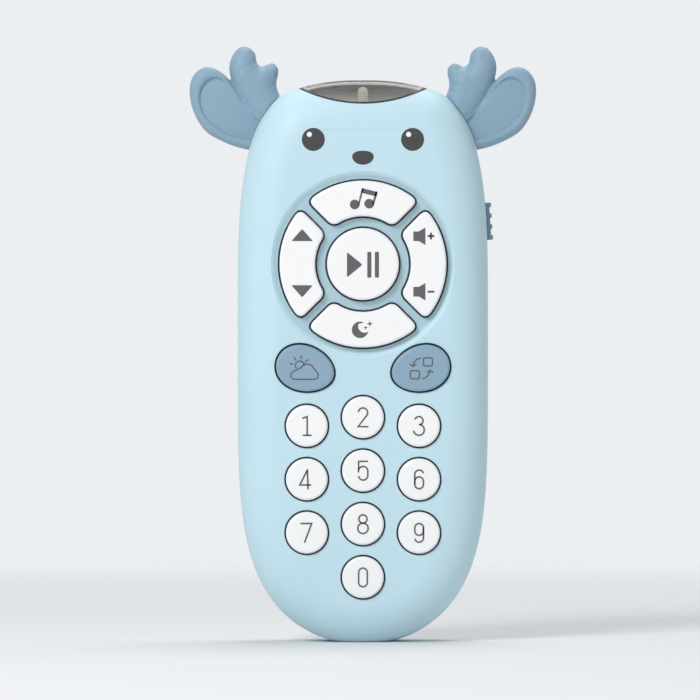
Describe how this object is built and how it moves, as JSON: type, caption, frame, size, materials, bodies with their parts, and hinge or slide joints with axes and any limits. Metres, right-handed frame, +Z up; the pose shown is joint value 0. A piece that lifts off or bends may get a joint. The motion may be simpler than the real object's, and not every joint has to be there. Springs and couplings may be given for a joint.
{
  "type": "toy cell phone",
  "caption": "Rounded toy phone with a deer face, soft ears, a ring of media keys, digit keys, a lit crown window, a power slide and a screwed battery door.",
  "frame": {"origin": "middle of the flat foot, on the plane where the two shells meet", "axes": "+X to the right as the face is seen, +Y from the face to the back, +Z up towards the ears"},
  "size_m": [0.0976, 0.0296, 0.1664],
  "materials": {
    "shell_blue": "satin moulded ABS, pale baby blue",
    "key_white": "satin white moulded ABS",
    "key_blue": "satin dusty-blue moulded ABS",
    "ear_silicone": "soft matt dusty-blue silicone",
    "window_smoke": "smoked clear polycarbonate",
    "screw_steel": "zinc plated",
    "keypad_rubber": "light-grey moulded silicone",
    "board_green": "green solder mask",
    "part_black": "black moulded resin",
    "lamp_clear": "water-clear epoxy",
    "reflector_grey": "light-grey moulded ABS",
    "speaker_steel": "stamped steel",
    "cone_black": "black paper and foam",
    "magnet_grey": "ferrite in a steel cup",
    "cell_jacket": null,
    "contact_metal": "nickel plated",
    "lead_red": "PVC insulation",
    "lead_black": "PVC insulation"
  },
  "bodies": {
    "phone": {"front_shell": "shell_blue", "rear_shell": "shell_blue", "left_ear": "ear_silicone", "right_ear": "ear_silicone", "window_lens": "window_smoke", "case_screw_1": "screw_steel", "case_screw_2": "screw_steel", "case_screw_3": "screw_steel", "case_screw_4": "screw_steel", "key_membrane": "keypad_rubber", "main_board": "board_green", "board_screw_1": "screw_steel", "board_screw_2": "screw_steel", "board_screw_3": "screw_steel", "board_screw_4": "screw_steel", "board_screw_5": "screw_steel", "sound_chip": "part_black", "capacitor": "part_black", "led": "lamp_clear", "led_reflector": "reflector_grey", "switch_box": "part_black", "speaker_lead_red": "lead_red", "speaker_lead_black": "lead_black", "battery_lead_red": "lead_red", "battery_lead_black": "lead_black", "speaker_basket": "speaker_steel", "speaker_cone": "cone_black", "speaker_magnet": "magnet_grey", "battery_1": "cell_jacket", "battery_2": "cell_jacket", "battery_3": "cell_jacket", "contact_spring_1": "contact_metal", "contact_spring_2": "contact_metal", "contact_spring_3": "contact_metal", "contact_plate_1": "contact_metal", "contact_plate_2": "contact_metal", "contact_plate_3": "contact_metal"},
    "play_key": {"play_key": "key_white"},
    "music_key": {"music_key": "key_white"},
    "night_key": {"night_key": "key_white"},
    "weather_key": {"weather_key": "key_blue"},
    "swap_key": {"swap_key": "key_blue"},
    "digit_key_0": {"digit_key_0": "key_white"},
    "digit_key_1": {"digit_key_1": "key_white"},
    "digit_key_2": {"digit_key_2": "key_white"},
    "digit_key_3": {"digit_key_3": "key_white"},
    "digit_key_4": {"digit_key_4": "key_white"},
    "digit_key_5": {"digit_key_5": "key_white"},
    "digit_key_6": {"digit_key_6": "key_white"},
    "digit_key_7": {"digit_key_7": "key_white"},
    "digit_key_8": {"digit_key_8": "key_white"},
    "digit_key_9": {"digit_key_9": "key_white"},
    "track_key": {"track_key": "key_white"},
    "volume_key": {"volume_key": "key_white"},
    "power_slide": {"power_knob": "key_blue", "switch_lever": "part_black"},
    "battery_door": {"battery_door": "shell_blue"},
    "door_screw": {"door_screw": "screw_steel"}
  },
  "joints": [
    {"name": "play_press", "type": "slide", "parent": "phone", "child": "play_key", "axis": [0, 1, 0], "range_m": [0, 0.0012], "stiffness_N_per_m": 700, "deforming": ["key_membrane"]},
    {"name": "music_press", "type": "slide", "parent": "phone", "child": "music_key", "axis": [0, 1, 0], "range_m": [0, 0.0012], "stiffness_N_per_m": 700, "deforming": ["key_membrane"]},
    {"name": "night_press", "type": "slide", "parent": "phone", "child": "night_key", "axis": [0, 1, 0], "range_m": [0, 0.0012], "stiffness_N_per_m": 700, "deforming": ["key_membrane"]},
    {"name": "weather_press", "type": "slide", "parent": "phone", "child": "weather_key", "axis": [0, 1, 0], "range_m": [0, 0.0012], "stiffness_N_per_m": 700, "deforming": ["key_membrane"]},
    {"name": "swap_press", "type": "slide", "parent": "phone", "child": "swap_key", "axis": [0, 1, 0], "range_m": [0, 0.0012], "stiffness_N_per_m": 700, "deforming": ["key_membrane"]},
    {"name": "digit_0_press", "type": "slide", "parent": "phone", "child": "digit_key_0", "axis": [0, 1, 0], "range_m": [0, 0.0012], "stiffness_N_per_m": 700, "deforming": ["key_membrane"]},
    {"name": "digit_1_press", "type": "slide", "parent": "phone", "child": "digit_key_1", "axis": [0, 1, 0], "range_m": [0, 0.0012], "stiffness_N_per_m": 700, "deforming": ["key_membrane"]},
    {"name": "digit_2_press", "type": "slide", "parent": "phone", "child": "digit_key_2", "axis": [0, 1, 0], "range_m": [0, 0.0012], "stiffness_N_per_m": 700, "deforming": ["key_membrane"]},
    {"name": "digit_3_press", "type": "slide", "parent": "phone", "child": "digit_key_3", "axis": [0, 1, 0], "range_m": [0, 0.0012], "stiffness_N_per_m": 700, "deforming": ["key_membrane"]},
    {"name": "digit_4_press", "type": "slide", "parent": "phone", "child": "digit_key_4", "axis": [0, 1, 0], "range_m": [0, 0.0012], "stiffness_N_per_m": 700, "deforming": ["key_membrane"]},
    {"name": "digit_5_press", "type": "slide", "parent": "phone", "child": "digit_key_5", "axis": [0, 1, 0], "range_m": [0, 0.0012], "stiffness_N_per_m": 700, "deforming": ["key_membrane"]},
    {"name": "digit_6_press", "type": "slide", "parent": "phone", "child": "digit_key_6", "axis": [0, 1, 0], "range_m": [0, 0.0012], "stiffness_N_per_m": 700, "deforming": ["key_membrane"]},
    {"name": "digit_7_press", "type": "slide", "parent": "phone", "child": "digit_key_7", "axis": [0, 1, 0], "range_m": [0, 0.0012], "stiffness_N_per_m": 700, "deforming": ["key_membrane"]},
    {"name": "digit_8_press", "type": "slide", "parent": "phone", "child": "digit_key_8", "axis": [0, 1, 0], "range_m": [0, 0.0012], "stiffness_N_per_m": 700, "deforming": ["key_membrane"]},
    {"name": "digit_9_press", "type": "slide", "parent": "phone", "child": "digit_key_9", "axis": [0, 1, 0], "range_m": [0, 0.0012], "stiffness_N_per_m": 700, "deforming": ["key_membrane"]},
    {"name": "track_rock", "type": "hinge", "parent": "phone", "child": "track_key", "pos_m": [-0.0182, -0.0118, 0.1054], "axis": [1, 0, 0], "range_deg": [-4, 4], "stiffness_Nm_per_rad": 0.15, "deforming": ["key_membrane"]},
    {"name": "volume_rock", "type": "hinge", "parent": "phone", "child": "volume_key", "pos_m": [0.0182, -0.0118, 0.1054], "axis": [1, 0, 0], "range_deg": [-4, 4], "stiffness_Nm_per_rad": 0.15, "deforming": ["key_membrane"]},
    {"name": "power_slide_move", "type": "slide", "parent": "phone", "child": "power_slide", "axis": [0.0611, 0, -0.9981], "range_m": [0, 0.002]},
    {"name": "battery_door_lift", "type": "slide", "parent": "phone", "child": "battery_door", "axis": [0, 1, 0], "range_m": [0, 0.03]},
    {"name": "door_screw_turn", "type": "hinge", "parent": "battery_door", "child": "door_screw", "pos_m": [0, 0.0135, 0.0749], "axis": [0, 1, 0], "continuous": true}
  ]
}
